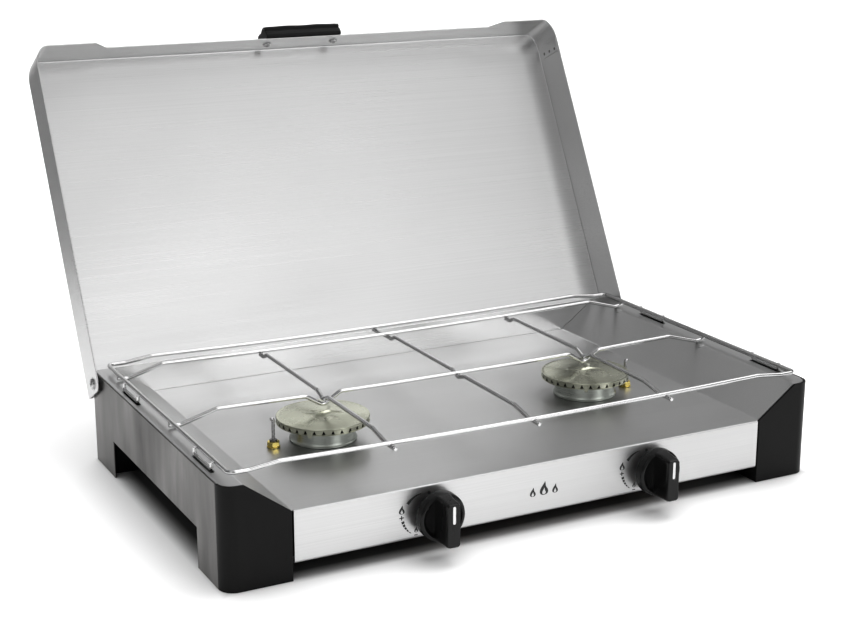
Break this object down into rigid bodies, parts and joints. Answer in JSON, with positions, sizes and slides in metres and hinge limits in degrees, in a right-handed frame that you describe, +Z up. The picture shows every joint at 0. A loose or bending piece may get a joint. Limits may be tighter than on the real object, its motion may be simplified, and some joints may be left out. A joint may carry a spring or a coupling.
{
  "type": "camping stove",
  "caption": "Portable gas stove with two burners, push-and-turn gas taps, a lift-off wire pot support, and a folding sheet-steel lid that opens past upright.",
  "frame": {"origin": "middle of the bounding box on the ground, lid open", "axes": "+X to the user's right across the stove, +Y to the back, +Z up"},
  "size_m": [0.531, 0.4884, 0.3461],
  "materials": {
    "brushed_steel": "brushed stainless steel, lines along X",
    "side_steel": "dull dark stainless steel",
    "black_plastic": "satin black plastic",
    "white_plastic": "white indicator line",
    "burner_aluminium": "turned aluminium",
    "burner_cap_metal": "pressed metal with a greenish grey tint",
    "fastener_steel": "plated steel",
    "brass": "bright brass",
    "copper": "drawn copper tube",
    "chrome_wire": "bright chrome-plated wire"
  },
  "bodies": {
    "base": {"hob_tray": "brushed_steel", "back_panel": "brushed_steel", "left_side_panel": "side_steel", "right_side_panel": "side_steel", "burner_brace": "side_steel", "left_front_cap": "black_plastic", "left_rear_foot": "black_plastic", "right_front_cap": "black_plastic", "right_rear_foot": "black_plastic", "left_burner_cup": "burner_aluminium", "left_mixing_tube": "burner_aluminium", "right_burner_cup": "burner_aluminium", "right_mixing_tube": "burner_aluminium", "left_burner_cap": "burner_cap_metal", "right_burner_cap": "burner_cap_metal", "left_thermocouple": "fastener_steel", "left_magnet_unit": "fastener_steel", "left_return_spring": "fastener_steel", "left_hinge_screw": "fastener_steel", "left_hinge_nut": "fastener_steel", "right_thermocouple": "fastener_steel", "right_magnet_unit": "fastener_steel", "right_return_spring": "fastener_steel", "right_hinge_screw": "fastener_steel", "right_hinge_nut": "fastener_steel", "left_thermocouple_nut": "brass", "left_tap_body": "brass", "left_injector": "brass", "right_thermocouple_nut": "brass", "right_tap_body": "brass", "right_injector": "brass", "gas_inlet": "brass", "left_thermocouple_lead": "copper", "right_thermocouple_lead": "copper", "gas_rail": "copper"},
    "lid": {"lid_shell": "brushed_steel", "lid_handle": "black_plastic", "left_handle_screw": "fastener_steel", "right_handle_screw": "fastener_steel"},
    "pot_support": {"grid_front_wire": "chrome_wire", "grid_back_wire": "chrome_wire", "grid_back_bar": "chrome_wire", "grid_middle_bar": "chrome_wire", "grid_left_bar": "chrome_wire", "grid_centre_bar": "chrome_wire", "grid_right_bar": "chrome_wire", "grid_left_wire": "chrome_wire", "grid_left_front_clip": "chrome_wire", "grid_left_rear_clip": "chrome_wire", "grid_right_wire": "chrome_wire", "grid_right_front_clip": "chrome_wire", "grid_right_rear_clip": "chrome_wire"},
    "left_pusher": {"left_plunger": "fastener_steel"},
    "left_control": {"left_knob": "black_plastic", "left_knob_mark": "white_plastic", "left_spindle": "fastener_steel"},
    "right_pusher": {"right_plunger": "fastener_steel"},
    "right_control": {"right_knob": "black_plastic", "right_knob_mark": "white_plastic", "right_spindle": "fastener_steel"}
  },
  "joints": [
    {"name": "lid_hinge", "type": "hinge", "parent": "base", "child": "lid", "pos_m": [0, 0.08284, 0.0712], "axis": [-1, 0, 0], "range_deg": [-118.2, 0]},
    {"name": "pot_support_lift", "type": "slide", "parent": "base", "child": "pot_support", "axis": [0, 0, 1], "range_m": [0, 0.04]},
    {"name": "left_knob_push", "type": "slide", "parent": "base", "child": "left_pusher", "axis": [0, 1, 0], "range_m": [0, 0.0035], "stiffness_N_per_m": 1500, "springref_m": -0.004, "deforming": ["left_return_spring"]},
    {"name": "left_knob_turn", "type": "hinge", "parent": "left_pusher", "child": "left_control", "pos_m": [-0.094, -0.21216, 0.0325], "axis": [0, -1, 0], "range_deg": [0, 140]},
    {"name": "right_knob_push", "type": "slide", "parent": "base", "child": "right_pusher", "axis": [0, 1, 0], "range_m": [0, 0.0035], "stiffness_N_per_m": 1500, "springref_m": -0.004, "deforming": ["right_return_spring"]},
    {"name": "right_knob_turn", "type": "hinge", "parent": "right_pusher", "child": "right_control", "pos_m": [0.0998, -0.21216, 0.0325], "axis": [0, -1, 0], "range_deg": [0, 140]}
  ]
}
